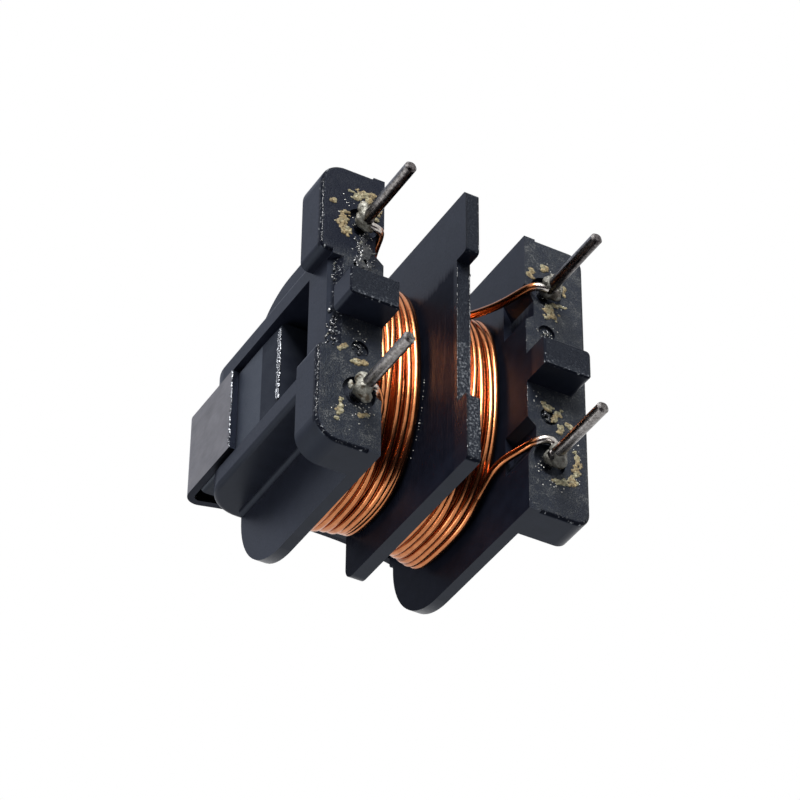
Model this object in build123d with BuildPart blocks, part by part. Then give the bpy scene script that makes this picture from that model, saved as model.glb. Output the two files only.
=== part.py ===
from build123d import *
import os
from math import asin, cos, degrees, radians, sin

# Common mode choke: two windings side by side on one moulded bobbin, a pair of ferrite
# U cores that meet inside it, and a steel clip that holds the cores together.
#
# Frame: +Z up, away from the circuit board. X runs along the windings and Y across them.
# The origin is the centre of the pin grid, on the plane where the bobbin seats on the board.

# ---------------------------------------------------------------- driving dimensions (mm)

# Pins
pin_pitch_x = 10.0
pin_pitch_y = 10.0
pin_diameter = 0.6
pin_below_seat = 3.05
pin_tip_chamfer = 0.1
pin_in_block = 1.5
pin_shank_growth = 0.04
pin_hole_clearance = 0.01

# Solder at the foot of each pin
solder_radius = 0.64
solder_rise = 0.55
solder_collar = 0.12
solder_hollow = 0.8

# Terminal blocks: a pair with a gap at the +X end, and one over the full width at the -X end
end_inner_x = 3.85
block_length = 3.3
bobbin_width = 16.2
block_height = 2.0
block_corner_radius = 1.2
block_gap = 5.5
block_gap_corner_radius = 0.4
full_block_corner_radius = 0.8
block_edge_radius = 0.2
bar_setback = 0.65
bar_height = 2.3
bar_chamfer = 0.55
standoff_height = 1.6
standoff_length = 2.55
standoff_width = 1.64
standoff_edge = 0.08
standoff_corner_radius = 0.25
pit_radius = 0.85
pit_depth = 0.3
spare_hole_pitch = 5.0
spare_hole_diameter = 0.9
spare_hole_depth = 0.15

# Wire notches in the inner edges of the blocks
notch_inner_y = 2.9
notch_outer_y = 5.1
notch_inner_slope = 0.4
notch_outer_slope = 0.9
notch_depth = 0.45

# End flanges and the rails on their outer faces that hold the core
flange_thickness = 0.6
flange_height = 12.65
flange_corner_radius = 4.2
rail_height = 13.0
rail_thickness = 1.05
rail_end_radius = 1.9
rail_edge_radius = 0.25
rail_root_radius = 0.25

# Divider between the windings
divider_thickness = 0.72
divider_width = 15.8
divider_height = 11.25
divider_corner_radius = 0.7
divider_foot_radius = 0.2
divider_recess_width = 8.4
divider_recess_depth = 0.85
tongue_width = 5.6
tongue_slope = 1.7
tongue_clearance = 0.25

# Ferrite core halves
core_leg = 1.85
core_width = 4.9
core_height = 7.9
core_above_terminals = 5.5
core_clearance = 0.15
core_edge_radius = 0.25
core_relief_height = 1.75
core_relief_depth = 0.06

# Tube through the windings
tube_wall = 0.6
tube_corner_radius = 0.7

# Windings
wire_diameter = 0.42
winding_half_width = 6.35
winding_half_height = 4.35
winding_clearance = 0.04
turn_chamfer = 0.11

# Wire ends, from the outer turns to the pins
lead_start_angle = 54.0
lead_start_depth = 0.3
lead_start_from_end = 0.95
lead_crossing_y = 4.15
lead_face_clearance = 0.03
lead_bend_radius = 0.4
lead_pin_angle = 45.0

# Steel clip
clip_thickness = 0.36
clip_width = 4.65
clip_tab_length = 3.85
clip_bend_radius = 0.5
clip_bow_radius = 21.0
clip_clearance = 0.02

# ---------------------------------------------------------------- derived sizes

terminal_z = standoff_height
block_top_z = terminal_z + block_height
end_outer_x = end_inner_x + block_length
rail_face_x = end_outer_x - bar_setback
notch_floor_x = end_inner_x + notch_depth
flange_outer_x = end_inner_x + flange_thickness
flange_top_z = terminal_z + flange_height
rail_inner_y = core_width / 2 + core_clearance
rail_outer_y = rail_inner_y + rail_thickness

core_face_x = flange_outer_x + core_leg
core_bottom_z = terminal_z + core_above_terminals
core_top_z = core_bottom_z + core_height
lower_leg_z = core_bottom_z + core_leg / 2
window_top_z = core_top_z - core_leg

hole_width = core_width + 2 * core_clearance
hole_height = core_leg + 2 * core_clearance
tube_width = hole_width + 2 * tube_wall
tube_height = hole_height + 2 * tube_wall

section_length = end_inner_x - divider_thickness / 2 - 2 * winding_clearance
turns_per_winding = int(section_length / wire_diameter)
turn_pitch = section_length / turns_per_winding

pin_x = pin_pitch_x / 2
pin_y = pin_pitch_y / 2
pin_radius = pin_diameter / 2
shank_radius = pin_radius + pin_shank_growth
solder_top_z = terminal_z - solder_rise
wire_radius = wire_diameter / 2
lead_z = terminal_z - wire_radius - lead_face_clearance

pin_quadrants = [(side, row) for side in (1, -1) for row in (1, -1)]
pin_corners = [(side * pin_x, row * pin_y) for side, row in pin_quadrants]

os.makedirs("parts", exist_ok=True)


# ---------------------------------------------------------------- bobbin

def end_flange():
    """Flat end flange with rounded upper corners, open where the upper core leg passes."""
    with BuildPart() as flange:
        with BuildSketch(Plane.YZ.offset(end_inner_x)) as face:
            with Locations((0, terminal_z)):
                Rectangle(bobbin_width, flange_height, align=(Align.CENTER, Align.MIN))
            fillet(face.vertices().group_by(Axis.Y)[-1], flange_corner_radius)
        extrude(amount=flange_thickness)
    return flange.part


def core_rail():
    """Rail on the flange's outer face, rounded at its upper end."""
    with BuildPart() as rail:
        with BuildSketch(Plane.XZ.offset(-rail_outer_y)) as side:
            with Locations((end_inner_x, terminal_z)):
                Rectangle(rail_face_x - end_inner_x, rail_height, align=(Align.MIN, Align.MIN))
            fillet(side.vertices().sort_by(Axis.X)[-2:].sort_by(Axis.Y)[-1], rail_end_radius)
        extrude(amount=rail_thickness)
        outer_face = rail.faces().sort_by(Axis.Y)[-1]
        fillet(outer_face.edges().group_by(Axis.X)[-1], rail_edge_radius)
        with BuildSketch(Plane.XY.offset(terminal_z)):
            with BuildLine():
                root_out = (flange_outer_x + rail_root_radius, rail_outer_y)
                root_along = (flange_outer_x, rail_outer_y + rail_root_radius)
                RadiusArc(root_along, root_out, rail_root_radius)
                Polyline(root_out, (flange_outer_x, rail_outer_y), root_along)
            make_face()
        extrude(amount=flange_height - rail_root_radius)
    return rail.part


def terminal_block(low_y, low_corner_radius, high_corner_radius):
    """Block from low_y to the bobbin's +Y side, rounded at its corners and terminal face."""
    high_y = bobbin_width / 2
    with BuildPart() as block:
        with BuildSketch(Plane.XY.offset(terminal_z)) as plan:
            with Locations((end_inner_x, low_y)):
                Rectangle(block_length, high_y - low_y, align=(Align.MIN, Align.MIN))
            high_corner = plan.vertices().group_by(Axis.X)[-1].sort_by(Axis.Y)[-1]
            fillet(high_corner, high_corner_radius)
            low_corner = plan.vertices().group_by(Axis.X)[-1].sort_by(Axis.Y)[0]
            fillet(low_corner, low_corner_radius)
        extrude(amount=block_height)
        rims = block.faces().sort_by(Axis.Z)[0].edges()
        fillet(rims.sort_by(Axis.X)[1:], block_edge_radius)
    return block.part


def terminal_bar():
    """Set-back bar between the blocks, with a sloped lower edge."""
    with BuildPart() as bar:
        with BuildSketch(Plane.XZ):
            with BuildLine():
                Polyline(
                    (end_inner_x, terminal_z),
                    (rail_face_x - bar_chamfer, terminal_z),
                    (rail_face_x, terminal_z + bar_chamfer),
                    (rail_face_x, terminal_z + bar_height),
                    (end_inner_x, terminal_z + bar_height),
                    close=True,
                )
            make_face()
        extrude(amount=rail_outer_y, both=True)
    return bar.part


def standoff():
    """Foot between the two blocks that seats on the board."""
    with BuildPart() as foot:
        with BuildSketch():
            with Locations((end_inner_x, 0)):
                Rectangle(standoff_length, standoff_width, align=(Align.MIN, Align.CENTER))
        extrude(amount=standoff_height)
        fillet(foot.edges().filter_by(Axis.Z).group_by(Axis.X)[-1], standoff_corner_radius)
        chamfer(foot.faces().sort_by(Axis.Z)[0].edges(), standoff_edge)
    return foot.part


def divider():
    """Plate between the windings, with two feet and a tongue into the core window."""
    half = divider_width / 2
    recess = divider_recess_width / 2
    tongue = tongue_width / 2
    shoulder = tongue + tongue_slope
    tongue_top = window_top_z - tongue_clearance
    with BuildPart() as plate:
        with BuildSketch(Plane.YZ.offset(-divider_thickness / 2)) as face:
            with BuildLine():
                Polyline(
                    (-half, 0),
                    (-recess, 0),
                    (-recess, divider_recess_depth),
                    (recess, divider_recess_depth),
                    (recess, 0),
                    (half, 0),
                    (half, divider_height),
                    (shoulder, divider_height),
                    (tongue, tongue_top),
                    (-tongue, tongue_top),
                    (-shoulder, divider_height),
                    (-half, divider_height),
                    close=True,
                )
            make_face()
            side_corners = face.vertices().group_by(Axis.X)
            fillet(side_corners[0].sort_by(Axis.Y)[-1], divider_corner_radius)
            fillet(side_corners[-1].sort_by(Axis.Y)[-1], divider_corner_radius)
            fillet(face.vertices().group_by(Axis.Y)[0], divider_foot_radius)
        extrude(amount=divider_thickness)
    return plate.part


def winding_tube():
    """Tube that carries the windings."""
    with BuildPart() as tube:
        with BuildSketch(Plane.YZ.offset(-end_inner_x)):
            with Locations((0, lower_leg_z)):
                RectangleRounded(tube_width, tube_height, tube_corner_radius)
        extrude(amount=2 * end_inner_x)
    return tube.part


def core_passages():
    """Space of the lower legs through the whole bobbin, and of the upper legs in each flange."""
    slot_bottom = window_top_z - core_clearance
    with BuildPart() as space:
        with BuildSketch(Plane.YZ.offset(-flange_outer_x)):
            with Locations((0, lower_leg_z)):
                Rectangle(hole_width, hole_height)
        extrude(amount=2 * flange_outer_x)
        for side in (1, -1):
            with BuildSketch(Plane.YZ.offset(side * end_inner_x)):
                with Locations((0, slot_bottom)):
                    Rectangle(
                        hole_width, flange_top_z - slot_bottom, align=(Align.CENTER, Align.MIN)
                    )
            extrude(amount=side * flange_thickness)
    return space.part


def wire_notches():
    """Sloped notches in the inner edges of the blocks, where the wire ends pass."""
    with BuildPart() as notches:
        for side, row in pin_quadrants:
            with BuildSketch(Plane.XY.offset(terminal_z)):
                with BuildLine():
                    Polyline(
                        (side * end_inner_x, row * notch_inner_y),
                        (side * notch_floor_x, row * (notch_inner_y + notch_inner_slope)),
                        (side * notch_floor_x, row * (notch_outer_y - notch_outer_slope)),
                        (side * end_inner_x, row * notch_outer_y),
                        close=True,
                    )
                make_face()
            extrude(amount=block_height)
    return notches.part


def pin_sockets():
    """Blind holes and shallow pits for the pins, and the unused pin holes beside them."""
    with BuildPart() as sockets:
        with BuildSketch(Plane.XY.offset(terminal_z)):
            with Locations(*pin_corners):
                Circle(pit_radius)
        extrude(amount=pit_depth)
        with BuildSketch(Plane.XY.offset(terminal_z)):
            with Locations(*pin_corners):
                Circle(shank_radius + pin_hole_clearance)
        extrude(amount=pin_in_block)
        with BuildSketch(Plane.XY.offset(terminal_z)):
            with GridLocations(pin_pitch_x, spare_hole_pitch, 2, 2):
                Circle(spare_hole_diameter / 2)
        extrude(amount=spare_hole_depth)
    return sockets.part


with BuildPart() as bobbin:
    rail = core_rail()
    add(end_flange())
    add(rail)
    add(rail.mirror(Plane.XZ))
    block = terminal_block(block_gap / 2, block_gap_corner_radius, block_corner_radius)
    add(block)
    add(block.mirror(Plane.XZ))
    add(terminal_bar())
    add(standoff())
    mirror(about=Plane.YZ)
    full_block = terminal_block(
        -bobbin_width / 2, full_block_corner_radius, full_block_corner_radius
    )
    add(full_block.mirror(Plane.YZ))
    add(divider())
    add(winding_tube())
    add(core_passages(), mode=Mode.SUBTRACT)
    add(wire_notches(), mode=Mode.SUBTRACT)
    add(pin_sockets(), mode=Mode.SUBTRACT)

bobbin.part.label = "bobbin"
export_step(bobbin.part, "parts/bobbin.step")


# ---------------------------------------------------------------- ferrite core halves

def core_half(side):
    """U-shaped ferrite half: a yoke outside the flange and two legs that meet the other half."""
    with BuildPart() as half:
        with BuildSketch(Plane.XZ):
            with Locations((0, core_bottom_z)):
                Rectangle(core_face_x, core_height, align=(Align.MIN, Align.MIN))
            with Locations((0, core_bottom_z + core_leg)):
                Rectangle(
                    flange_outer_x,
                    core_height - 2 * core_leg,
                    align=(Align.MIN, Align.MIN),
                    mode=Mode.SUBTRACT,
                )
            with BuildLine():
                Polyline(
                    (core_face_x, core_bottom_z + core_relief_height),
                    (core_face_x - core_relief_depth, core_bottom_z),
                    (core_face_x, core_bottom_z),
                    close=True,
                )
            make_face(mode=Mode.SUBTRACT)
        extrude(amount=core_width / 2, both=True)
        yoke_corners = half.faces().filter_by(Axis.X).sort_by(Axis.X)[-1].edges().filter_by(Axis.Z)
        fillet(yoke_corners, core_edge_radius)
        if side < 0:
            mirror(about=Plane.YZ, mode=Mode.REPLACE)
    return half


core_half_left = core_half(1)
core_half_left.part.label = "core_half_left"
export_step(core_half_left.part, "parts/core_half_left.step")

core_half_right = core_half(-1)
core_half_right.part.label = "core_half_right"
export_step(core_half_right.part, "parts/core_half_right.step")


# ---------------------------------------------------------------- steel clip

def clip_strip():
    """Centre line of the bent strip, from one tab over the bowed back to the other tab."""
    tab_x = core_face_x + clip_clearance + clip_thickness / 2
    back_z = core_top_z + clip_clearance + clip_thickness / 2
    tab_end_z = back_z - clip_tab_length
    bow_angle = degrees(asin((tab_x - clip_bend_radius) / (clip_bow_radius + clip_bend_radius)))
    bow_centre = (0, back_z + clip_bow_radius)
    with BuildLine() as centre_line:
        back = CenterArc(bow_centre, clip_bow_radius, -90 - bow_angle, 2 * bow_angle)
        right_bend = JernArc(back @ 1, back % 1, clip_bend_radius, -90 - bow_angle)
        left_bend = JernArc(back @ 0, -(back % 0), clip_bend_radius, 90 + bow_angle)
        Line(right_bend @ 1, (tab_x, tab_end_z))
        Line(left_bend @ 1, (-tab_x, tab_end_z))
    return centre_line.line


with BuildPart() as core_clip:
    with BuildSketch(Plane.XZ):
        trace(clip_strip(), line_width=clip_thickness)
    extrude(amount=clip_width / 2, both=True)

core_clip.part.label = "core_clip"
export_step(core_clip.part, "parts/core_clip.step")


# ---------------------------------------------------------------- windings

def turn():
    """One turn of wire round the tube, as a ring one pitch long, centred on x = 0."""
    with BuildPart() as ring:
        with BuildSketch(Plane.YZ.offset(-turn_pitch / 2)):
            with Locations((0, lower_leg_z)):
                Ellipse(winding_half_width, winding_half_height)
                RectangleRounded(
                    tube_width + 2 * winding_clearance,
                    tube_height + 2 * winding_clearance,
                    tube_corner_radius + winding_clearance,
                    mode=Mode.SUBTRACT,
                )
        extrude(amount=turn_pitch)
        ends = ring.faces().filter_by(Axis.X)
        rims = [face.outer_wire().edges() for face in ends]
        chamfer(rims[0] + rims[1], turn_chamfer)
    return ring.part


def lead_route(side, row):
    """Route of a wire end: up from an outer turn, through the notch, and across to the pin."""
    start_y = winding_half_width * sin(radians(lead_start_angle))
    start_drop = winding_half_height * cos(radians(lead_start_angle))
    start = (
        side * (end_inner_x - lead_start_from_end),
        row * start_y,
        lower_leg_z - start_drop + lead_start_depth,
    )
    crossing = (side * (end_inner_x + wire_radius / 2), row * lead_crossing_y, lead_z)
    reach = pin_radius + wire_radius + lead_face_clearance
    aside = reach * cos(radians(lead_pin_angle))
    short = reach * sin(radians(lead_pin_angle))
    foot = (side * (pin_x - aside), row * (pin_y - short), lead_z)
    return [start, crossing, foot]


def lead(side, row):
    """End of the wire, from the winding through its notch to the foot of its pin."""
    with BuildPart() as wire:
        with BuildLine() as route:
            FilletPolyline(*lead_route(side, row), radius=lead_bend_radius)
        with BuildSketch(Plane(origin=route.line @ 0, z_dir=route.line % 0)):
            Circle(wire_radius)
        sweep()
    return wire.part


def winding(side):
    """One winding with its two wire ends."""
    first = divider_thickness / 2 + winding_clearance + turn_pitch / 2
    one_turn = turn()
    with BuildPart() as coil:
        for number in range(turns_per_winding):
            add(one_turn.moved(Location((side * (first + number * turn_pitch), 0, 0))))
        for row in (1, -1):
            add(lead(side, row))
    return coil


winding_left = winding(1)
winding_left.part.label = "winding_left"
export_step(winding_left.part, "parts/winding_left.step")

winding_right = winding(-1)
winding_right.part.label = "winding_right"
export_step(winding_right.part, "parts/winding_right.step")


# ---------------------------------------------------------------- pins and solder

def pin(x, y):
    """Straight tinned pin with a chamfered tip and a thicker shank moulded into its block."""
    with BuildPart() as post:
        with BuildSketch(Plane.XY.offset(-pin_below_seat)):
            with Locations((x, y)):
                Circle(pin_radius)
        extrude(amount=pin_below_seat + solder_top_z)
        with BuildSketch(Plane.XY.offset(solder_top_z)):
            with Locations((x, y)):
                Circle(shank_radius)
        extrude(amount=solder_rise + pin_in_block)
        chamfer(post.faces().sort_by(Axis.Z)[0].edges(), pin_tip_chamfer)
    return post


def solder(x, y, coils):
    """Solder that rises from the pit round the pin and covers the end of the wire."""
    pit_z = terminal_z + pit_depth
    with BuildPart() as joint:
        with BuildSketch(Plane(origin=(x, y, 0), x_dir=(1, 0, 0), z_dir=(0, -1, 0))):
            with BuildLine():
                Polyline(
                    (solder_radius, terminal_z),
                    (solder_radius, pit_z),
                    (shank_radius, pit_z),
                    (shank_radius, solder_top_z),
                    (pin_radius + solder_collar, solder_top_z),
                )
                RadiusArc(
                    (pin_radius + solder_collar, solder_top_z),
                    (solder_radius, terminal_z),
                    -solder_hollow,
                )
            make_face()
        revolve(axis=Axis((x, y, 0), (0, 0, 1)))
        for coil in coils:
            add(coil.part, mode=Mode.SUBTRACT)
    return joint


for number, (x, y) in enumerate(pin_corners, start=1):
    post = pin(x, y)
    post.part.label = f"pin_{number}"
    export_step(post.part, f"parts/pin_{number}.step")
    joint = solder(x, y, [winding_left, winding_right])
    joint.part.label = f"solder_{number}"
    export_step(joint.part, f"parts/solder_{number}.step")
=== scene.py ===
from math import cos, exp, pi, radians, sin

import bpy
from mathutils import Matrix, Vector, noise


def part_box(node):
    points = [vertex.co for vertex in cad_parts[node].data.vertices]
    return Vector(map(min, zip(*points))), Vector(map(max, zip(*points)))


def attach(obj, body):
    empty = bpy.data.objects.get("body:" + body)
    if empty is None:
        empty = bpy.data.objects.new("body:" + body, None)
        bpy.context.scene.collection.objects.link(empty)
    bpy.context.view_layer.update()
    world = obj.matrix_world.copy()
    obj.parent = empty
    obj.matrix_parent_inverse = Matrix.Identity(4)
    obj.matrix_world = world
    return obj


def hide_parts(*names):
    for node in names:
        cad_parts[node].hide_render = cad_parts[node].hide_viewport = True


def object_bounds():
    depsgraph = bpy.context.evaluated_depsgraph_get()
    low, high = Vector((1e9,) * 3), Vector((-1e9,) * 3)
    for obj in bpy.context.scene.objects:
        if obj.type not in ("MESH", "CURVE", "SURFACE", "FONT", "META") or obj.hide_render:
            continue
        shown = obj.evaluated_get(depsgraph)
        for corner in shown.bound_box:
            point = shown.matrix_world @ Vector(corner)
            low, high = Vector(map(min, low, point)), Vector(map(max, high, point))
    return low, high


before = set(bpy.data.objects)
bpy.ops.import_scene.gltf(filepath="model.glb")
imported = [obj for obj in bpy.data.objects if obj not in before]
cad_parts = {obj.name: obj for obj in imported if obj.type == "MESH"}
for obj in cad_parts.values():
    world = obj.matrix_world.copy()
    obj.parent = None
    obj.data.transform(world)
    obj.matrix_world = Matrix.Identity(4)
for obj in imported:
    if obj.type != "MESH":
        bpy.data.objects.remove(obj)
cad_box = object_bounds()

# ---------------------------------------------------------------------------- camera
# The choke is seen from below its board side, with the pins towards the eye, through a
# long lens that is turned a little about its own axis.

bpy.ops.object.select_all(action="DESELECT")
bpy.ops.object.camera_add(
    location=(0.0592, -0.0947, -0.09935),
    rotation=(radians(-142.331), radians(29.516), radians(179.4536)),
)
camera = bpy.context.object
camera.name = "bench_camera"
camera.data.lens = 146.5
camera.data.clip_start = 0.005
bpy.context.scene.camera = camera
bpy.context.scene.view_settings.view_transform = "Standard"

# ---------------------------------------------------------------------------- bench
# A plain white bench top that the four pin tips stand on. It is seen only from above,
# where it takes the shadow, so that the board side can be looked at through it.

bench_colour = (0.86, 0.86, 0.86, 1.0)
bpy.ops.mesh.primitive_plane_add(size=1.6, location=(0, 0, cad_box[0].z))
bench = bpy.context.object
bench.name = "bench_top"
bench.visible_diffuse = False
bench.visible_glossy = False
bench.visible_transmission = False
bench.visible_shadow = False

bench_paint = bpy.data.materials.new("bench_paint")
bench_paint.use_nodes = True
nodes = bench_paint.node_tree.nodes
links = bench_paint.node_tree.links
nodes.clear()
side = nodes.new("ShaderNodeNewGeometry")
paint = nodes.new("ShaderNodeBsdfDiffuse")
paint.inputs["Color"].default_value = bench_colour
clear = nodes.new("ShaderNodeBsdfTransparent")
one_sided = nodes.new("ShaderNodeMixShader")
bench_out = nodes.new("ShaderNodeOutputMaterial")
links.new(side.outputs["Backfacing"], one_sided.inputs[0])
links.new(paint.outputs[0], one_sided.inputs[1])
links.new(clear.outputs[0], one_sided.inputs[2])
links.new(one_sided.outputs[0], bench_out.inputs["Surface"])
bench.data.materials.append(bench_paint)

# ---------------------------------------------------------------------------- light
# White surroundings, large soft lamps above and below the bench, and two glowing cards
# that only reflections see: a black one before the board side and a grey one past the end.

surroundings = bpy.data.worlds.new("white_surroundings")
bpy.context.scene.world = surroundings
surroundings.use_nodes = True
nodes = surroundings.node_tree.nodes
links = surroundings.node_tree.links
nodes.clear()
path = nodes.new("ShaderNodeLightPath")
seen_or_mirrored = nodes.new("ShaderNodeMath")
seen_or_mirrored.operation = "MAXIMUM"
seen_through = nodes.new("ShaderNodeMath")
seen_through.operation = "MAXIMUM"
room = nodes.new("ShaderNodeBackground")
room.inputs["Color"].default_value = (0.9, 0.94, 1.0, 1.0)
room.inputs["Strength"].default_value = 0.45
white = nodes.new("ShaderNodeBackground")
white.inputs["Color"].default_value = (1.0, 1.0, 1.0, 1.0)
white.inputs["Strength"].default_value = 1.0
which = nodes.new("ShaderNodeMixShader")
world_out = nodes.new("ShaderNodeOutputWorld")
links.new(path.outputs["Is Camera Ray"], seen_or_mirrored.inputs[0])
links.new(path.outputs["Is Glossy Ray"], seen_or_mirrored.inputs[1])
links.new(seen_or_mirrored.outputs[0], seen_through.inputs[0])
links.new(path.outputs["Is Transmission Ray"], seen_through.inputs[1])
links.new(seen_through.outputs[0], which.inputs[0])
links.new(room.outputs[0], which.inputs[1])
links.new(white.outputs[0], which.inputs[2])
links.new(which.outputs[0], world_out.inputs["Surface"])

middle = (cad_box[0] + cad_box[1]) / 2


def soft_lamp(name, direction, distance, size, power):
    """A square soft box that hangs in that direction from the choke and faces it."""
    place = middle + Vector(direction).normalized() * distance
    bpy.ops.object.light_add(type="AREA", location=place)
    lamp = bpy.context.object
    lamp.name = name
    lamp.rotation_euler = (place - middle).to_track_quat("Z", "Y").to_euler()
    lamp.data.shape = "SQUARE"
    lamp.data.size = size
    lamp.data.energy = power
    return lamp


soft_lamp("board_side_lamp", (0.30, 0.62, -0.72), 0.30, 0.14, 1.6)
soft_lamp("low_side_lamp", (0.75, -0.6, 0.28), 0.35, 0.20, 0.5)
overhead = soft_lamp("overhead_lamp", (-0.55, 0.35, 0.85), 0.40, 0.30, 2.4)
overhead.visible_glossy = False


def reflected_card(name, direction, distance, size, turn, shade):
    """A card that glows in one flat shade and only reflections see, with its size as two sides."""
    place = middle + Vector(direction).normalized() * distance
    bpy.ops.mesh.primitive_plane_add(size=1.0, location=place, rotation=turn)
    card = bpy.context.object
    card.name = name
    card.scale = (size[0], size[1], 1.0)
    card.visible_camera = False
    card.visible_diffuse = False
    card.visible_transmission = False
    card.visible_shadow = False
    card_glow_paint = bpy.data.materials.new(name + "_paint")
    card_glow_paint.use_nodes = True
    card_glow_nodes = card_glow_paint.node_tree.nodes
    card_glow_nodes.clear()
    card_glow = card_glow_nodes.new("ShaderNodeEmission")
    card_glow.inputs["Color"].default_value = (*shade, 1.0)
    card_glow_out = card_glow_nodes.new("ShaderNodeOutputMaterial")
    card_glow_paint.node_tree.links.new(card_glow.outputs[0], card_glow_out.inputs["Surface"])
    card.data.materials.append(card_glow_paint)


reflected_card("black_card", (0.384, -0.53, -0.75), 0.30, (1.22, 0.32), camera.rotation_euler,
               (0.045, 0.036, 0.048))
reflected_card("grey_card", (0.384, 0.615, 0.689), 0.45, (0.60, 0.60),
               Vector((0.384, 0.615, 0.689)).to_track_quat("Z", "Y").to_euler(),
               (0.52, 0.56, 0.66))

# ---------------------------------------------------------------------------- bobbin
# The bobbin is one moulding in black plastic, with a satin skin. The faces that carry the
# pins were scraped and heated when the wires were soldered, so they are duller and pitted.

MM = 1000.0                                   # millimetres in a metre


def finish(name):
    """A new material, with its node tree, its shader and its place in millimetres."""
    material = bpy.data.materials.new(name)
    material.use_nodes = True
    tree = material.node_tree
    place = tree.nodes.new("ShaderNodeTexCoord")
    in_mm = tree.nodes.new("ShaderNodeVectorMath")
    in_mm.operation = "SCALE"
    in_mm.inputs["Scale"].default_value = MM
    tree.links.new(place.outputs["Object"], in_mm.inputs[0])
    return material, tree, tree.nodes["Principled BSDF"], in_mm.outputs[0]


def grain(tree, where, scale, detail=2.0, rough=0.5):
    """Noise with that many grains to the millimetre."""
    node = tree.nodes.new("ShaderNodeTexNoise")
    node.inputs["Scale"].default_value = scale
    node.inputs["Detail"].default_value = detail
    node.inputs["Roughness"].default_value = rough
    tree.links.new(where, node.inputs["Vector"])
    return node.outputs["Fac"]


def stretched(tree, where, scale):
    """The place drawn out along its axes, for grain that runs one way."""
    node = tree.nodes.new("ShaderNodeMapping")
    node.inputs["Scale"].default_value = scale
    tree.links.new(where, node.inputs["Vector"])
    return node.outputs["Vector"]


def between(tree, value, low, high, out_low, out_high):
    """A value moved from one range to another, and kept inside it."""
    node = tree.nodes.new("ShaderNodeMapRange")
    node.inputs["From Min"].default_value = low
    node.inputs["From Max"].default_value = high
    node.inputs["To Min"].default_value = out_low
    node.inputs["To Max"].default_value = out_high
    tree.links.new(value, node.inputs["Value"])
    return node.outputs["Result"]


def share_of(tree, value, start, full, most=1.0):
    """A share that grows from none at one value to its most at another."""
    return between(tree, value, start, full, 0.0, most)


def sum_of(tree, kind, first, *others):
    """Values put together one after the other by a named kind of sum."""
    for other in others:
        node = tree.nodes.new("ShaderNodeMath")
        node.operation = kind
        for socket, value in zip(node.inputs, (first, other)):
            if isinstance(value, float):
                socket.default_value = value
            else:
                tree.links.new(value, socket)
        first = node.outputs[0]
    return first


def shades(tree, amount, *stops):
    """Colours laid along an amount from 0 to 1."""
    node = tree.nodes.new("ShaderNodeValToRGB")
    ramp = node.color_ramp
    while len(ramp.elements) < len(stops):
        ramp.elements.new(0.5)
    for element, (position, colour) in zip(ramp.elements, stops):
        element.position = position
        element.color = (*colour, 1.0)
    tree.links.new(amount, node.inputs["Fac"])
    return node.outputs["Color"]


def laid_over(tree, share, below, above):
    """One colour laid over another by a share."""
    node = tree.nodes.new("ShaderNodeMix")
    node.data_type = "RGBA"
    for socket, value in (("Factor", share), ("A", below), ("B", above)):
        if isinstance(value, tuple):
            node.inputs[socket].default_value = (*value, 1.0)
        else:
            tree.links.new(value, node.inputs[socket])
    return node.outputs["Result"]


def raise_by(tree, shader, height, depth_mm):
    """Fine relief of that depth on the shader."""
    node = tree.nodes.new("ShaderNodeBump")
    node.inputs["Distance"].default_value = depth_mm / MM
    tree.links.new(height, node.inputs["Height"])
    tree.links.new(node.outputs["Normal"], shader.inputs["Normal"])


def axes_of(tree, vector):
    """The three parts of a place or a direction, by name."""
    node = tree.nodes.new("ShaderNodeSeparateXYZ")
    tree.links.new(vector, node.inputs[0])
    return node.outputs


def facing_of(tree):
    """The way the face points, by its three parts."""
    return axes_of(tree, tree.nodes.new("ShaderNodeNewGeometry").outputs["True Normal"])


def dress(piece, material):
    """Give a piece this one material."""
    piece.data.materials.clear()
    piece.data.materials.append(material)


pit_depth = 0.3                               # the solder's pit in the terminal face
terminal_z_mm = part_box("solder_1")[1].z * MM - pit_depth
block_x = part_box("bobbin")[1].x * MM

bobbin_plastic, tree, skin, where = finish("black_moulded_plastic")
skin.inputs["Specular IOR Level"].default_value = 0.20
skin.inputs["Specular Tint"].default_value = (0.66, 0.80, 1.0, 1.0)
facing = facing_of(tree)
place = axes_of(tree, where)
from_middle = sum_of(tree, "ABSOLUTE", place["X"], 0.0)
fine = grain(tree, where, 9.0, 5.0, 0.6)
coarse = grain(tree, where, 1.3, 3.0, 0.55)
pits = grain(tree, where, 13.0, 6.0, 0.7)
veins = grain(tree, where, 8.0, 6.0, 0.75)
wiped = grain(tree, stretched(tree, where, (1.0, 0.16, 2.6)), 1.7, 5.0, 0.6)
scratches = grain(tree, stretched(tree, where, (5.0, 0.8, 1.0)), 3.0, 4.0, 0.6)
tone = shades(tree, coarse, (0.3, (0.0056, 0.0066, 0.0118)), (0.7, (0.0088, 0.0104, 0.0178)))

# The terminal faces are scraped and dusty, and darker and duller at one corner.
faces_board = share_of(tree, facing["Z"], -0.6, -0.95)
scraped = sum_of(tree, "MULTIPLY", faces_board,
                 share_of(tree, place["Z"], terminal_z_mm + 0.4, terminal_z_mm + 0.15),
                 share_of(tree, place["Z"], terminal_z_mm - 0.5, terminal_z_mm - 0.2))
worn = sum_of(tree, "MULTIPLY", pits, sum_of(tree, "ADD", 0.55, coarse))
dust = shades(tree, worn, (0.48, (0.0050, 0.0060, 0.0110)), (0.60, (0.017, 0.018, 0.020)),
              (0.72, (0.090, 0.091, 0.090)))
darker_corner = sum_of(tree, "MULTIPLY", share_of(tree, place["Y"], 2.4, 3.4),
                   share_of(tree, place["X"], 0.0, 1.0, 0.85))
dust_darker_at_corner = laid_over(tree, darker_corner, dust, (0.0045, 0.0055, 0.0115))
surface = laid_over(tree, scraped, tone, dust_darker_at_corner)
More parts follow.
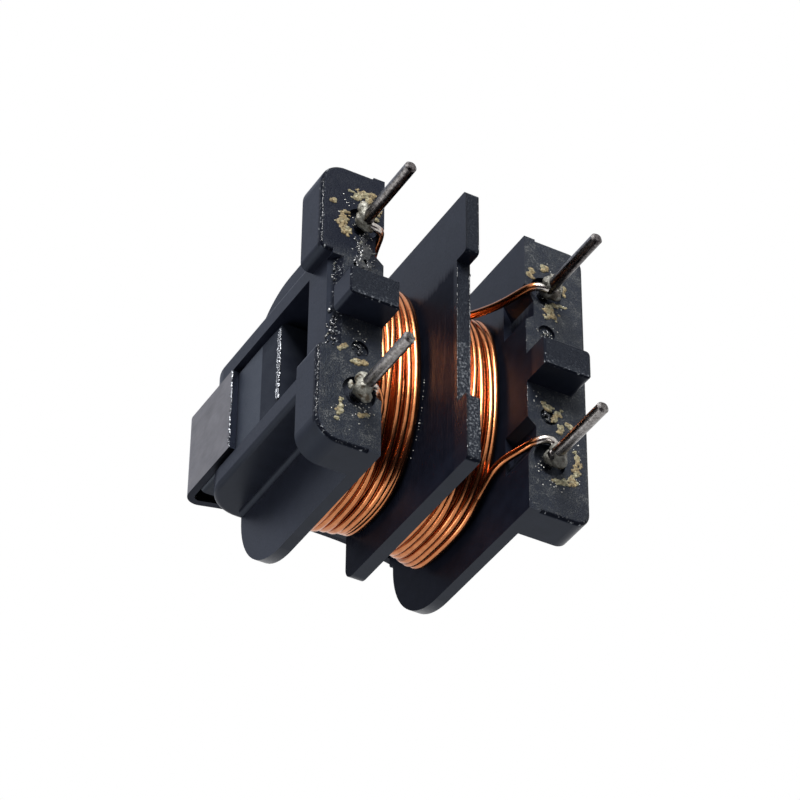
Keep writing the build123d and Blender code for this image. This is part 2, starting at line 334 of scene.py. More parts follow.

# The standoffs and the divider's edge are rough from the mould, and rub on the bench. Their
# bright veins are partly that wear and partly painted glints, and the divider's edges are darker.
low_faces = sum_of(tree, "MULTIPLY", faces_board,
                   share_of(tree, place["Z"], terminal_z_mm - 0.2, terminal_z_mm - 0.5))
rubbed = share_of(tree, place["Y"], -0.30, -0.75, 0.10)
vein_wear_and_glints = shades(tree, sum_of(tree, "ADD", veins, rubbed),
                   (0.48, (0.0030, 0.0038, 0.0075)), (0.62, (0.009, 0.011, 0.016)),
                   (0.74, (0.19, 0.20, 0.215)))
divider_lines = sum_of(tree, "MULTIPLY", share_of(tree, from_middle, 0.24, 0.30),
                       share_of(tree, from_middle, 0.50, 0.45))
vein_wear_and_glints = laid_over(tree, divider_lines, vein_wear_and_glints, (0.0028, 0.0034, 0.0060))
surface = laid_over(tree, low_faces, surface, vein_wear_and_glints)

# Painted shade darkens the rounded rims that face the board, with painted glints as bright specks.
rounded = sum_of(tree, "MULTIPLY", share_of(tree, facing["Z"], -0.97, -0.93),
                 share_of(tree, facing["Z"], -0.18, -0.28),
                 share_of(tree, place["Z"], terminal_z_mm + 0.45, terminal_z_mm + 0.30))
beside = sum_of(tree, "MULTIPLY",
                share_of(tree, place["X"], block_x - 0.07, block_x - 0.05, 0.85),
                share_of(tree, place["Z"], terminal_z_mm + 0.36, terminal_z_mm + 0.30))
shaded_rims = sum_of(tree, "MAXIMUM", rounded, beside)
rim_painted_shade_and_glints = shades(tree, grain(tree, where, 6.0, 3.0, 0.6), (0.50, (0.0035, 0.0042, 0.0080)),
                  (0.60, (0.012, 0.013, 0.017)), (0.68, (0.26, 0.27, 0.28)))
surface = laid_over(tree, shaded_rims, surface, rim_painted_shade_and_glints)
tree.links.new(surface, skin.inputs["Base Color"])

# Grime takes the shine off the faces beside the coils, with streaks wiped clean.
on_divider = sum_of(tree, "MULTIPLY", share_of(tree, from_middle, 0.40, 0.38),
                    share_of(tree, place["Y"], 2.4, 0.4),
                    share_of(tree, place["Y"], -6.8, -5.2))
outward = sum_of(tree, "MULTIPLY", place["X"], facing["X"])
grimed = sum_of(tree, "MULTIPLY", share_of(tree, outward, 1.0, 0.6),
                share_of(tree, place["Z"], 0.9, 1.2),
                share_of(tree, sum_of(tree, "ABSOLUTE", facing["X"], 0.0), 0.8, 0.9),
                share_of(tree, sum_of(tree, "ADD", place["Y"], wiped), 4.75, 4.25))
clean_streaks = sum_of(tree, "MULTIPLY", on_divider, share_of(tree, wiped, 0.58, 0.71, 0.72))
dulling = sum_of(tree, "MAXIMUM", sum_of(tree, "SUBTRACT", grimed, clean_streaks),
                 sum_of(tree, "MULTIPLY", shaded_rims, 0.8),
                 sum_of(tree, "MULTIPLY", low_faces, 0.55),
                 sum_of(tree, "MULTIPLY", scraped, darker_corner, 0.7))
tree.links.new(between(tree, dulling, 0.0, 1.0, 0.20, 0.016),
               skin.inputs["Specular IOR Level"])

# The moulded skin is satin, the wiped streaks vary, and the scraped faces are rough.
roughness = between(tree, fine, 0.3, 0.7, 0.28, 0.38)
for covered, rougher in ((on_divider, between(tree, wiped, 0.40, 0.62, 0.10, 0.42)),
                         (scraped, between(tree, pits, 0.35, 0.65, 0.28, 0.55))):
    blend = tree.nodes.new("ShaderNodeMix")
    for socket, value in (("Factor", covered), ("A", roughness), ("B", rougher)):
        tree.links.new(value, blend.inputs[socket])
    roughness = blend.outputs["Result"]
tree.links.new(roughness, skin.inputs["Roughness"])
roughened = sum_of(tree, "ADD", pits, sum_of(tree, "MULTIPLY", scratches, 0.4))
raise_by(tree, skin, sum_of(tree, "ADD", sum_of(tree, "MULTIPLY", roughened, scraped),
                            sum_of(tree, "MULTIPLY", veins, low_faces),
                            sum_of(tree, "MULTIPLY", fine, 0.02),
                            sum_of(tree, "MULTIPLY", wiped, on_divider, 0.35)), 0.05)

dress(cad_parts["bobbin"], bobbin_plastic)

# ---------------------------------------------------------------------------- cores
# Two U-shaped halves of sintered ferrite, ground smooth on the outside. The material is
# brittle, so its edges carry small chips, made bright with painted glints.

ferrite, tree, skin, where = finish("ground_ferrite")
skin.inputs["IOR"].default_value = 1.62
skin.inputs["Specular IOR Level"].default_value = 0.46
skin.inputs["Specular Tint"].default_value = (0.74, 0.86, 1.0, 1.0)
speck = grain(tree, where, 22.0, 4.0, 0.6)
cloud = grain(tree, where, 1.1, 3.0, 0.5)
tree.links.new(
    shades(tree, cloud, (0.3, (0.012, 0.014, 0.021)), (0.7, (0.019, 0.022, 0.030))),
    skin.inputs["Base Color"])
tree.links.new(between(tree, speck, 0.3, 0.7, 0.38, 0.52), skin.inputs["Roughness"])
raise_by(tree, skin, speck, 0.006)
place = axes_of(tree, where)
facing = facing_of(tree)
# The shine is taken off the undersides as painted shade, and off the -Y flanks and the band below
# the relief.
relief_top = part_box("core_half_left")[0].z * MM + 1.84
below_relief_band = share_of(tree, place["Z"], relief_top + 0.04, relief_top - 0.04, 0.94)
underneath = share_of(tree, facing["Z"], -0.5, -0.8)
flanks = share_of(tree, facing["Y"], -0.5, -0.8, 0.8)
shaded_and_dull_sides = sum_of(tree, "MAXIMUM", underneath, flanks, below_relief_band)
tree.links.new(between(tree, shaded_and_dull_sides, 0.0, 1.0, 0.46, 0.02),
               skin.inputs["Specular IOR Level"])
for name in ("core_half_left", "core_half_right"):
    dress(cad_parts[name], ferrite)

# ---------------------------------------------------------------------------- clip
# A bent strip of spring steel that squeezes the two core halves together. Its rolled face
# is dull grey with faint lines along the strip.

clip_steel, tree, skin, where = finish("rolled_spring_steel")
skin.inputs["Metallic"].default_value = 1.0
rolled = grain(tree, stretched(tree, where, (1.0, 14.0, 1.0)), 1.4, 4.0, 0.6)
cloud = grain(tree, where, 0.9, 4.0, 0.6)
rolled_tone = shades(tree, cloud, (0.3, (0.208, 0.196, 0.194)), (0.7, (0.291, 0.274, 0.272)))
tree.links.new(between(tree, rolled, 0.3, 0.7, 0.36, 0.50), skin.inputs["Roughness"])
raise_by(tree, skin, rolled, 0.004)
facing = facing_of(tree)
# Its edge faces and the tab's end are much darker.
on_edge = sum_of(tree, "ADD",
                 share_of(tree, sum_of(tree, "ABSOLUTE", facing["Y"], 0.0), 0.6, 0.8),
                 share_of(tree, facing["Z"], -0.85, -0.95))
tree.links.new(laid_over(tree, on_edge, rolled_tone, (0.010, 0.012, 0.019)),
               skin.inputs["Base Color"])
dress(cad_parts["core_clip"], clip_steel)

# ---------------------------------------------------------------------------- windings
# Each winding is two layers of enamelled copper wire, wound tightly over the tube between
# the divider and the end flange. Both ends of the wire leave through the notches in the
# blocks and are stripped, tinned and soldered to their pins.

wire_d = 0.42
coil_half_width = 6.35
coil_half_height = 4.35
outer_half_y = coil_half_width - wire_d / 2
outer_half_z = coil_half_height - wire_d / 2
layer_step = 0.36
turns = 8
first_turn = 0.7
run_in = 0.75                                 # turns that lie flat against the divider,
run_out = 0.25                                # and against the flange
points_per_turn = 24
divider_half = 0.36
section_end = 3.84
coil_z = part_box("winding_left")[1].z * MM - coil_half_height
loop_power = 2.3
far_corner_power = (2.9, 0.28)                # by the cores at the -Y side: first turn, growth
spline_shrink = 1.006

# Turns that slipped while they were wound: the place in turns, how far round the slip
# reaches, how far it moved from the divider, and how far it stands up.
slips = {
    1: ((1.02, 0.10, -0.06, 0.03), (2.94, 0.08, 0.30, 0.13), (3.93, 0.09, -0.12, -0.02),
        (4.94, 0.07, -0.22, 0.08), (5.92, 0.07, 0.28, 0.12), (6.93, 0.07, -0.30, 0.10)),
    -1: ((1.96, 0.09, 0.10, 0.04), (3.90, 0.08, -0.22, 0.09), (5.94, 0.10, 0.12, 0.05),
         (6.92, 0.08, -0.08, 0.06)),
}


def power_wave(value, power):
    """A cosine or sine drawn out towards the corners of a rounded oblong."""
    return (1 if value >= 0 else -1) * abs(value) ** (2 / power)


def loop_point(turn, layer, side, sway):
    """A point of the wire's centre line, that many turns from the divider. Its ends dip."""
    angle = 2 * pi * turn
    number = int(turn)
    lean = 0.045 * sin(angle + sway * number) + 0.03 * sin(2 * angle + 1.7 * number)
    lift = 0.03 * sin(angle * 0.37 + 2.1 * number + sway)
    for place, reach, moved, raised in slips[side]:
        share = exp(-((turn - place) / reach) ** 2) * (1 - layer)
        lean += moved * share
        lift += raised * share
    from_end = min(turn + first_turn + run_in, turns - first_turn + run_out - turn)
    dip = 0.34 * (1 - min(from_end / 0.12, 1.0)) ** 2
    grow = (1 - (layer * layer_step + dip) / outer_half_z) * spline_shrink
    pitch = (section_end - divider_half - wire_d) / turns
    along = turn + first_turn
    x = divider_half + wire_d / 2 + max(along, -1.6 * along) * pitch + lean
    x = min(max(x, divider_half + wire_d / 2), section_end - wire_d / 2)
    power = loop_power
    if sin(angle) < 0 and cos(angle) < 0:
        power = far_corner_power[0] + far_corner_power[1] * max(number, 0)
    y = power_wave(sin(angle), power) * (outer_half_y * grow + lift)
    z = -power_wave(cos(angle), power) * (outer_half_z * grow + lift)
    return Vector((side * x, y, coil_z + z))


def new_wire(name):
    """An empty curve object with the wire's round section."""
    bpy.ops.object.select_all(action="DESELECT")
    bpy.ops.curve.primitive_nurbs_path_add(location=(0, 0, 0))
    wire = bpy.context.object
    wire.name = name
    wire.data.name = name
    wire.data.splines.clear()
    wire.data.bevel_depth = wire_d / 2
    wire.data.bevel_resolution = 3
    wire.data.use_fill_caps = True
    wire.data.resolution_u = 4
    return wire


def run_wire(wire, points, radii=None):
    """One smooth run of wire through these points."""
    spline = wire.data.splines.new("NURBS")
    spline.points.add(len(points) - 1)
    for number, point in enumerate(points):
        spline.points[number].co = (*point, 1.0)
        if radii:
            spline.points[number].radius = radii[number]
    spline.order_u = 4
    spline.use_endpoint_u = True


def settle(piece):
    """Make a piece that was modelled in millimetres a mesh of its real size, at the origin."""
    bpy.ops.object.select_all(action="DESELECT")
    piece.select_set(True)
    bpy.context.view_layer.objects.active = piece
    if piece.type != "MESH":
        bpy.ops.object.convert(target="MESH")
        piece = bpy.context.object
    piece.scale = (1 / MM, 1 / MM, 1 / MM)
    piece.location = piece.location / MM
    bpy.ops.object.transform_apply(location=True, rotation=True, scale=True)
    bpy.ops.object.shade_smooth()
    return piece


copper, tree, skin, where = finish("enamelled_copper")
skin.inputs["Metallic"].default_value = 1.0
skin.inputs["Coat Weight"].default_value = 0.12
skin.inputs["Coat Roughness"].default_value = 0.14
skin.inputs["Coat IOR"].default_value = 1.5
mottled = grain(tree, where, 2.4, 4.0, 0.6)
scuffs = grain(tree, where, 14.0, 4.0, 0.6)
bare = shades(tree, mottled, (0.3, (0.41, 0.136, 0.048)), (0.7, (0.55, 0.210, 0.084)))
place = axes_of(tree, where)
sideways = sum_of(tree, "ABSOLUTE", place["X"], 0.0)
ragged = sum_of(tree, "ADD", sideways, sum_of(tree, "MULTIPLY", scuffs, 0.5))
tinned = sum_of(tree, "MULTIPLY", share_of(tree, ragged, 4.36, 4.52),
                share_of(tree, place["Z"], 2.3, 1.8))
tin_tone = shades(tree, scuffs, (0.3, (0.30, 0.27, 0.24)), (0.7, (0.62, 0.59, 0.56)))
tree.links.new(laid_over(tree, tinned, bare, tin_tone), skin.inputs["Base Color"])
tree.links.new(between(tree, scuffs, 0.3, 0.7, 0.16, 0.26), skin.inputs["Roughness"])
raise_by(tree, skin, scuffs, 0.004)

# How each wire end runs from under the last turns, through its notch, to its pin's foot.
routes = {
    (1, 1): ((2.34, 5.40, coil_z - 0.4), (2.42, 5.48, coil_z - 1.2),
             (2.55, 5.35, coil_z - 2.0), (2.85, 5.2, coil_z - 2.9), (3.4, 4.6, 3.8),
             (3.80, 4.35, 2.8), (4.00, 4.45, 2.1), (4.05, 4.66, 1.58), (4.22, 4.72, 1.36),
             (4.47, 4.70, 1.28), (4.75, 4.75, 1.30)),
    (1, -1): ((2.34, -5.40, coil_z - 0.4), (2.42, -5.48, coil_z - 1.2),
              (2.55, -5.35, coil_z - 2.0), (2.85, -5.25, coil_z - 2.9), (3.3, -5.4, 3.6),
              (3.58, -5.35, 2.6), (3.68, -5.2, 2.0), (3.88, -4.9, 1.72), (4.10, -4.55, 1.57),
              (4.4, -4.5, 1.35), (4.8, -4.75, 1.3)),
    (-1, 1): ((-2.3, 5.40, coil_z - 0.4), (-2.37, 5.48, coil_z - 1.2),
              (-2.5, 5.35, coil_z - 2.0), (-2.75, 5.1, coil_z - 2.9), (-3.35, 4.75, 3.5),
              (-3.75, 4.75, 2.2), (-4.0, 4.82, 1.5), (-4.3, 4.84, 1.24), (-4.62, 4.82, 1.16),
              (-4.80, 4.84, 1.2)),
    (-1, -1): ((-3.43, -5.45, coil_z + 0.4), (-3.43, -5.75, coil_z - 0.3), (-3.43, -5.85, 6.9),
               (-3.45, -5.5, 6.0), (-3.52, -5.0, 5.2), (-3.62, -4.35, 4.4),
               (-3.76, -4.15, 3.5), (-3.92, -4.35, 2.3), (-4.2, -4.3, 1.45), (-4.65, -4.1, 1.24),
               (-5.05, -4.15, 1.22), (-5.2, -4.6, 1.3)),
}
for name, side, sway in (("winding_left", 1, 0.9), ("winding_right", -1, 2.3)):
    wire = new_wire(name + "_wire")
    for layer in (1, 0):
        run_wire(wire, [loop_point(step / points_per_turn - first_turn - run_in, layer, side,
                                   sway)
                        for step in range(int((turns + run_in + run_out) * points_per_turn) + 1)])
    for row in (1, -1):
        run_wire(wire, routes[side, row])
    winding = settle(wire)
    dress(winding, copper)
    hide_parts(name)
    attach(winding, "root")

# ---------------------------------------------------------------------------- pins
# Four round pins of tinned steel wire, moulded into the blocks. The tin is streaked, and
# painted shade darkens the pins of the +Y row except on their sides that face +X.

pin_tin, tree, skin, where = finish("tinned_steel")
skin.inputs["Metallic"].default_value = 1.0
drawn = grain(tree, stretched(tree, where, (5.0, 5.0, 1.0)), 1.6, 5.0, 0.65)
spots = grain(tree, where, 7.0, 5.0, 0.65)
place = axes_of(tree, where)
facing = facing_of(tree)
pin_side_shade = sum_of(tree, "MULTIPLY", share_of(tree, place["Y"], -1.0, 1.0),
               share_of(tree, facing["X"], 0.75, 0.45))
unshaded_tin = shades(tree, spots, (0.35, (0.10, 0.092, 0.088)), (0.62, (0.32, 0.305, 0.30)))
shaded_tin = shades(tree, spots, (0.38, (0.030, 0.024, 0.025)), (0.66, (0.17, 0.158, 0.158)))
tree.links.new(laid_over(tree, pin_side_shade, unshaded_tin, shaded_tin), skin.inputs["Base Color"])
tree.links.new(between(tree, drawn, 0.3, 0.7, 0.16, 0.38), skin.inputs["Roughness"])
raise_by(tree, skin, drawn, 0.012)
for number in range(1, 5):
    dress(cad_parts[f"pin_{number}"], pin_tin)

# ---------------------------------------------------------------------------- solder
# A lump of solder holds the wire end on each pin. It ran unevenly down the wire and
# the pin, and froze dull and grainy, with a skin of browned flux in the hollows.

solder_tin, tree, skin, where = finish("dull_solder")
skin.inputs["Metallic"].default_value = 0.35
lumps = grain(tree, where, 4.0, 5.0, 0.65)
browned = grain(tree, where, 2.2, 3.0, 0.5)
metal_tone = shades(tree, lumps, (0.35, (0.11, 0.105, 0.082)), (0.62, (0.34, 0.33, 0.285)))
flux_tone = shades(tree, lumps, (0.35, (0.030, 0.020, 0.012)), (0.65, (0.13, 0.10, 0.060)))
skinned = laid_over(tree, share_of(tree, browned, 0.52, 0.62), metal_tone, flux_tone)
# The lumps on the -X side are darker, as painted shade.
minus_x_shade = share_of(tree, axes_of(tree, where)["X"], 0.5, -0.5, 0.55)
tree.links.new(laid_over(tree, minus_x_shade, skinned, (0.022, 0.020, 0.019)),
               skin.inputs["Base Color"])
tree.links.new(between(tree, lumps, 0.3, 0.7, 0.36, 0.6), skin.inputs["Roughness"])
raise_by(tree, skin, lumps, 0.06)


def melt(name, drops, voxel, swell, coarseness):
    """Drops given as centre and half sizes in millimetres, run together and made uneven."""
    bpy.ops.object.select_all(action="DESELECT")
    made = []
    for centre, half in drops:
        bpy.ops.mesh.primitive_ico_sphere_add(subdivisions=3 if max(half) > 0.15 else 2,
                                              radius=1.0, location=centre, scale=half)
        made.append(bpy.context.object)
    for drop in made:
        drop.select_set(True)
    bpy.context.view_layer.objects.active = made[0]
    if len(made) > 1:
        bpy.ops.object.join()
    lump = bpy.context.object
    lump.name = name
    lump.data.name = name
    bpy.ops.object.transform_apply(location=True, rotation=True, scale=True)
    joined = lump.modifiers.new("run_together", "REMESH")
    joined.mode = "VOXEL"
    joined.voxel_size = voxel
    eased = lump.modifiers.new("surface_pull", "SMOOTH")
    eased.factor = 0.6
    eased.iterations = 4
    clouds = bpy.data.textures.new(name + "_swell", "CLOUDS")
    clouds.noise_scale = coarseness
    clouds.noise_depth = 3
    swollen = lump.modifiers.new("uneven", "DISPLACE")
    swollen.texture = clouds
    swollen.strength = swell
    swollen.mid_level = 0.5
    for modifier in list(lump.modifiers):
        bpy.ops.object.modifier_apply(modifier=modifier.name)
    return settle(lump)


# Each lump's drops are set out from the foot of its pin: centre, then half sizes.
solder_drops = {
    1: (((0.0, 0.0, 1.50), (0.42, 0.42, 0.30)), ((0.12, 0.02, 1.22), (0.40, 0.40, 0.28)),
        ((0.27, 0.40, 1.02), (0.28, 0.36, 0.26)), ((0.30, 0.10, 0.98), (0.20, 0.30, 0.18)),
        ((-0.20, -0.20, 1.42), (0.42, 0.34, 0.24))),
    2: (((0.0, 0.0, 1.44), (0.38, 0.40, 0.32)), ((0.14, 0.30, 1.02), (0.36, 0.34, 0.34)),
        ((0.08, -0.12, 1.02), (0.42, 0.42, 0.38)), ((-0.12, -0.48, 1.16), (0.28, 0.30, 0.28)),
        ((0.02, 0.02, 0.86), (0.36, 0.38, 0.22)), ((0.56, 0.05, 1.36), (0.11, 0.27, 0.12))),
    3: (((0.0, 0.0, 1.46), (0.42, 0.42, 0.30)), ((0.24, 0.08, 1.02), (0.27, 0.38, 0.26)),
        ((-0.06, 0.46, 1.02), (0.22, 0.28, 0.20)), ((-0.30, -0.12, 1.40), (0.42, 0.38, 0.22)),
        ((-0.75, 0.45, 1.46), (0.10, 0.38, 0.14))),
    4: (((0.0, 0.0, 1.44), (0.42, 0.42, 0.32)), ((-0.10, 0.20, 1.10), (0.40, 0.44, 0.32)),
        ((-0.26, -0.22, 1.20), (0.40, 0.40, 0.32)), ((-0.05, 0.0, 0.92), (0.36, 0.38, 0.22)),
        ((-0.66, 0.42, 1.40), (0.14, 0.36, 0.14))),
}
for number in range(1, 5):
    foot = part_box(f"pin_{number}")
    middle_x = (foot[0].x + foot[1].x) / 2 * MM
    middle_y = (foot[0].y + foot[1].y) / 2 * MM
    drops = [((middle_x + centre[0], middle_y + centre[1], centre[2]), half)
             for centre, half in solder_drops[number]]
    lump = melt(f"solder_lump_{number}", drops, 0.03, 0.13, 0.18)
    dress(lump, solder_tin)
    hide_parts(f"solder_{number}")
    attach(lump, "root")

# ---------------------------------------------------------------------------- flux
# Thin crusts of dried flux and spattered solder round the pins. They are tan to yellowish
# white, matt, and broken at the rim.

crust, tree, skin, where = finish("dried_flux")
skin.inputs["Specular IOR Level"].default_value = 0.25
flakes = grain(tree, where, 7.0, 6.0, 0.7)
blotches = grain(tree, where, 1.6, 3.0, 0.6)
pale = shades(tree, flakes, (0.36, (0.06, 0.052, 0.032)), (0.55, (0.25, 0.225, 0.135)),
              (0.70, (0.52, 0.49, 0.39)))
tan = shades(tree, flakes, (0.36, (0.050, 0.034, 0.018)), (0.60, (0.28, 0.215, 0.110)),
             (0.74, (0.52, 0.43, 0.27)))
tree.links.new(laid_over(tree, share_of(tree, blotches, 0.45, 0.55), pale, tan),
               skin.inputs["Base Color"])
tree.links.new(between(tree, flakes, 0.3, 0.7, 0.45, 0.8), skin.inputs["Roughness"])
raise_by(tree, skin, flakes, 0.04)

crust_z = terminal_z_mm + 0.01
# Patches on the blocks' faces: middle x and y, half sizes, and turn in degrees.
patches = (
    (4.86, 6.72, 0.66, 0.36, 8), (5.35, 6.50, 0.26, 0.26, 0), (6.02, 4.78, 0.30, 0.56, 14),
    (5.86, 4.22, 0.40, 0.24, -20), (4.15, 6.10, 0.18, 0.56, 4), (6.55, 5.77, 0.11, 0.20, 20),
    (5.05, -3.28, 0.40, 0.22, -15), (4.74, -3.22, 0.16, 0.18, 0), (5.84, -2.67, 0.12, 0.30, 40),
    (5.93, -6.20, 0.14, 0.58, 4), (4.80, -6.20, 0.36, 0.12, -20), (-4.22, 5.95, 0.20, 0.36, 10),
    (-4.95, 6.50, 0.28, 0.22, 0), (-6.04, 5.50, 0.10, 0.40, 6), (-5.20, 3.80, 0.44, 0.42, 20),
    (-5.66, 4.42, 0.44, 0.13, -12), (-4.92, -1.93, 0.30, 0.22, 30), (-5.42, -2.30, 0.16, 0.46, 35),
    (-5.62, -2.98, 0.15, 0.30, 0), (-6.14, -2.70, 0.28, 0.15, 20), (-5.60, -6.05, 0.52, 0.20, -8),
    (-6.17, -5.75, 0.32, 0.30, 30), (-6.47, -5.10, 0.22, 0.50, 8), (-6.44, -4.35, 0.14, 0.36, -6),
)
noise.seed_set(3)                             # the same scatter each time
patch_drops = []
for x, y, half_x, half_y, turned in patches:
    for number in range(10 + int(60 * half_x * half_y / 0.25)):
        wander = Vector((x * 3.1 + number * 1.37, y * 2.7 - number * 0.71, 0.4))
        shift = noise.noise_vector(wander * 1.9) * 1.55
        along = Vector((shift.x * half_x, shift.y * half_y, 0.0))
        along.rotate(Matrix.Rotation(radians(turned), 3, "Z"))
        size = 0.060 + 0.105 * abs(noise.noise(wander * 2.7))
        patch_drops.append(((x + along.x, y + along.y, crust_z),
                            (size * 1.3, size, size * 0.6)))
flux = melt("flux_crust", patch_drops, 0.030, 0.07, 0.08)
dress(flux, crust)
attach(flux, "root")

# ---------------------------------------------------------------------------- spatter
# Fine beads of solder and resin that spat round the pins when they were heated. They are
# bright, and lie thickest beside the joints.

bead_tin, tree, skin, where = finish("bright_beads")
skin.inputs["Metallic"].default_value = 0.6
specks = grain(tree, where, 9.0, 3.0, 0.6)
tree.links.new(
    shades(tree, specks, (0.4, (0.20, 0.19, 0.16)), (0.6, (0.62, 0.61, 0.57))),
    skin.inputs["Base Color"])
tree.links.new(between(tree, specks, 0.3, 0.7, 0.20, 0.40), skin.inputs["Roughness"])

# Fields of beads: middle x and y, half sizes, and how many.
fields = (
    (4.85, 3.45, 0.55, 0.85, 34), (4.6, -5.9, 0.50, 0.75, 22), (5.5, -6.4, 0.9, 0.7, 12),
    (5.0, -1.9, 0.7, 0.7, 10), (-4.5, -5.6, 0.35, 0.9, 12), (-6.5, -4.8, 0.3, 1.2, 16),
    (-5.4, 4.3, 0.7, 0.5, 16), (-5.0, 2.4, 0.9, 0.5, 10), (-5.3, -6.3, 0.8, 0.4, 14),
    (5.6, 5.6, 1.0, 1.6, 14), (-5.6, 6.2, 0.9, 0.9, 8), (-4.3, -1.6, 0.3, 0.5, 8),
)
bead_places = []
for x, y, half_x, half_y, count in fields:
    for number in range(count):
        wander = Vector((x + number * 1.37, y - number * 0.91, number * 0.53))
        shift = noise.noise_vector(wander * 2.3) * 1.7
        size = 0.022 + 0.030 * abs(noise.noise(wander * 3.1))
        bead_places.append((x + shift.x * half_x, y + shift.y * half_y, crust_z, size))
# A broken row of them also lies where the coil meets the divider, put there as painted glints.
for number in range(26):
    y = -1.0 - 0.15 * number
    rise = outer_half_z * (1 - (-y / outer_half_y) ** loop_power) ** (1 / loop_power)
    size = 0.045 * noise.noise(Vector((number * 1.7, 0.3, 4.1)))
    if size > 0.0:
        bead_places.append((0.42, y, coil_z - rise - 0.15, 0.012 + size))
bpy.ops.object.select_all(action="DESELECT")
made = []
for x, y, z, size in bead_places:
    bpy.ops.mesh.primitive_ico_sphere_add(subdivisions=2, radius=1.0, location=(x, y, z),
                                          scale=(size * 1.3, size, size * 0.8))
    made.append(bpy.context.object)
for bead in made:
    bead.select_set(True)
bpy.context.view_layer.objects.active = made[0]
bpy.ops.object.join()
beads = bpy.context.object
beads.name = "solder_beads"
beads.data.name = "solder_beads"
bpy.ops.object.transform_apply(location=True, rotation=True, scale=True)
beads = settle(beads)
dress(beads, bead_tin)
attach(beads, "root")

# ---------------------------------------------------------------------------- flash
# A thin ragged line of plastic stands on the edges where the mould's halves met: along the
# blocks' outer rims, the foot of the divider and the seats beside them.

flash_plastic, tree, skin, where = finish("glossy_flash")
ragged = grain(tree, where, 10.0, 4.0, 0.6)
skin.inputs["Specular IOR Level"].default_value = 0.6
tree.links.new(
    shades(tree, ragged, (0.3, (0.006, 0.007, 0.011)), (0.7, (0.014, 0.016, 0.022))),
    skin.inputs["Base Color"])
tree.links.new(between(tree, ragged, 0.3, 0.7, 0.10, 0.24), skin.inputs["Roughness"])

rim_x = block_x - 0.07
rim_z = terminal_z_mm + 0.07
divider_edge_x = 0.33
foot_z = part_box("bobbin")[0].z * MM + 0.03
recess_z = foot_z + 0.84
notch_x = -3.87
notch_z = terminal_z_mm + 0.02
# Runs of flash: both ends, the thickness, and the seed of its wandering.
flash_runs = (
    ((rim_x, -3.1, rim_z), (rim_x, -6.9, rim_z), 0.085, 1.0),
    ((rim_x, 3.1, rim_z), (rim_x, 6.9, rim_z), 0.070, 2.0),
    ((divider_edge_x, -4.0, recess_z), (divider_edge_x, 4.0, recess_z), 0.050, 3.0),
    ((-divider_edge_x, -4.0, recess_z), (-divider_edge_x, 4.0, recess_z), 0.055, 4.0),
    ((divider_edge_x, 4.5, foot_z), (divider_edge_x, 7.6, foot_z), 0.035, 5.0),
    ((-divider_edge_x, 4.5, foot_z), (-divider_edge_x, 7.6, foot_z), 0.040, 6.0),
    ((divider_edge_x, -4.5, foot_z), (divider_edge_x, -7.5, foot_z), 0.040, 7.0),
    ((-divider_edge_x, -4.5, foot_z), (-divider_edge_x, -7.5, foot_z), 0.050, 8.0),
    ((notch_x, -5.6, notch_z), (notch_x, -7.9, notch_z), 0.035, 9.0),
    ((notch_x, -2.7, notch_z), (notch_x, -1.0, notch_z), 0.035, 10.0),
    ((notch_x, 2.6, notch_z), (notch_x, 0.9, notch_z), 0.030, 11.0),
)


def ragged_runs(name, runs, step):
    """Thin uneven beads of material along straight runs, as one curve object."""
    wire = new_wire(name)
    wire.data.bevel_depth = 1.0
    wire.data.bevel_resolution = 1
    for start, end, thickness, seed in runs:
        start, end = Vector(start), Vector(end)
        count = int((end - start).length / step)
        points = []
        radii = []
        for number in range(count + 1):
            at = Vector((number * 0.61, seed * 7.3, 0.2))
            place = start.lerp(end, number / count)
            points.append(place + noise.noise_vector(at) * thickness * 0.8)
            radii.append(thickness * (0.35 + 0.9 * abs(noise.noise(at * 1.9))))
        run_wire(wire, points, radii)
    return wire


flash = settle(ragged_runs("mould_flash", flash_runs, 0.055))
dress(flash, flash_plastic)
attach(flash, "root")

# ---------------------------------------------------------------------------- resin
# Lumps of black resin left in the corner between the set-back bar and its two blocks, where
# the moulding was trimmed. They shine more than the plastic round them.

resin, tree, skin, where = finish("black_resin")
gloss_grain = grain(tree, where, 5.0, 4.0, 0.6)
skin.inputs["Specular IOR Level"].default_value = 0.5
# Its bright specks are painted glints.
tree.links.new(
    shades(tree, gloss_grain, (0.40, (0.004, 0.005, 0.009)), (0.58, (0.012, 0.014, 0.018)),
           (0.69, (0.17, 0.165, 0.13))),
    skin.inputs["Base Color"])
tree.links.new(between(tree, gloss_grain, 0.3, 0.7, 0.06, 0.2), skin.inputs["Roughness"])

bar_setback = 0.65
bar_chamfer = 0.55
bar_half_width = 2.7
bar_face_x = block_x - bar_setback
bar_slope_x = bar_face_x - bar_chamfer        # where the bar's sloped edge starts
resin_drops = []
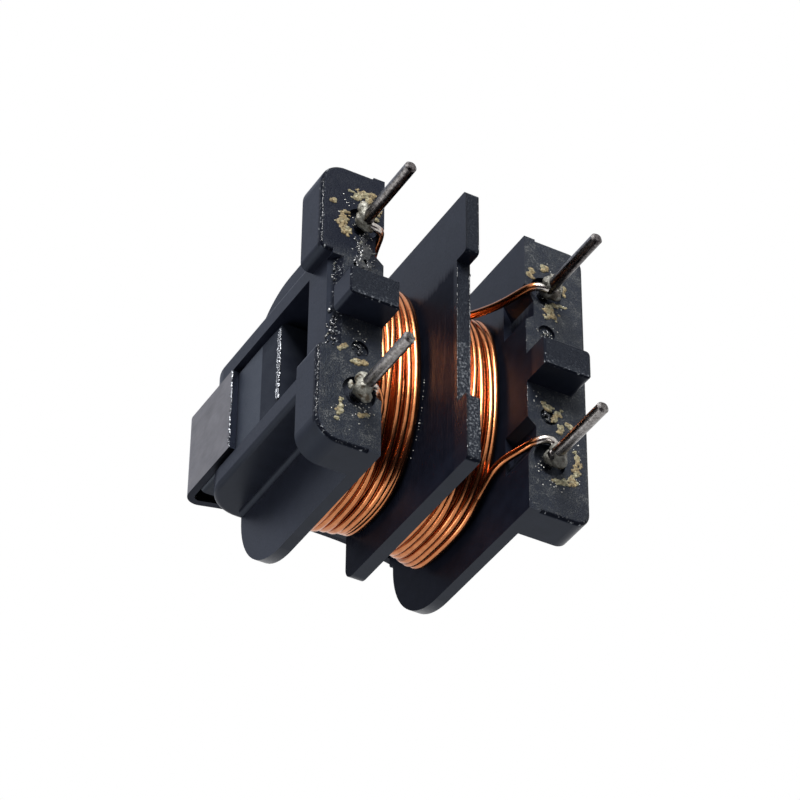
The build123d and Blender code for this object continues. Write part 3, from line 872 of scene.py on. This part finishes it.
# Patches of lumps: middle x and y, half sizes, height over the face, size and how many.
for x, y, half_x, half_y, rise, large, count in (
        (6.30, -1.75, 0.30, 0.95, 0.0, 0.13, 34), (4.85, 3.35, 0.62, 0.85, 0.0, 0.12, 90),
        (5.02, 2.50, 0.42, 0.42, 0.04, 0.16, 26), (4.75, 1.45, 0.70, 0.45, 0.0, 0.07, 22),
        (6.25, 1.70, 0.20, 0.90, 0.0, 0.09, 24), (4.45, -5.75, 0.40, 0.65, 0.0, 0.05, 22),
        (-5.00, 2.50, 0.36, 0.30, 0.05, 0.10, 14), (-5.00, -2.50, 0.36, 0.36, 0.04, 0.12, 16),
        (5.00, -2.50, 0.40, 0.40, 0.08, 0.09, 20)):
    for number in range(count):
        at = Vector((number * 0.83 + x, y * 1.7, 1.9))
        shift = noise.noise_vector(at) * 1.6
        size = large * (0.45 + 0.9 * abs(noise.noise(at * 2.1)))
        drop_x = min(x + shift.x * half_x, bar_face_x)
        drop_y = y + shift.y * half_y
        slope = max(drop_x - bar_slope_x, 0.0) if abs(drop_y) < bar_half_width else 0.0
        resin_drops.append(((drop_x, drop_y, terminal_z_mm + slope + rise + 0.02 * shift.z),
                            (size * 1.3, size * 1.1, size * 0.6)))
resin_lumps = melt("resin_lumps", resin_drops, 0.032, 0.06, 0.10)
dress(resin_lumps, resin)
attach(resin_lumps, "root")

# ---------------------------------------------------------------------------- chips
# The brittle rims of the cores and the sheared edge of the clip carry tiny chips where pieces
# broke away, and the chips' colour holds painted glints.

chip_glint_finish, tree, skin, where = finish("chips_with_painted_glints")
skin.inputs["Metallic"].default_value = 0.5
sparkle = grain(tree, where, 12.0, 3.0, 0.6)
tree.links.new(
    shades(tree, sparkle, (0.49, (0.012, 0.014, 0.020)), (0.58, (0.62, 0.64, 0.68))),
    skin.inputs["Base Color"])
tree.links.new(between(tree, sparkle, 0.3, 0.7, 0.18, 0.42), skin.inputs["Roughness"])
clip_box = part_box("core_clip")
core_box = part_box("core_half_left")
clip_edge_x = clip_box[1].x * MM - 0.02
clip_edge_y = clip_box[0].y * MM
clip_low_z = clip_box[0].z * MM
core_edge_x = core_box[1].x * MM
core_low_z = core_box[0].z * MM
core_low_y = core_box[0].y * MM
chip_runs = [((clip_edge_x, clip_edge_y + 0.05, clip_low_z + 0.02),
              (clip_edge_x, -clip_edge_y - 0.05, clip_low_z + 0.02), 0.075, 21.0)]
for number in range(4):
    back = 0.06 * number
    chip_runs.append(((core_edge_x - 0.01, core_low_y + 0.3 + back, core_low_z + back * 1.4),
                      (core_edge_x - 0.01, -core_low_y - 0.4 - back, core_low_z + back * 1.4),
                      0.075 - 0.012 * number, 22.0 + number))
chips = settle(ragged_runs("edge_chips", chip_runs, 0.07))
dress(chips, chip_glint_finish)
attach(chips, "root")
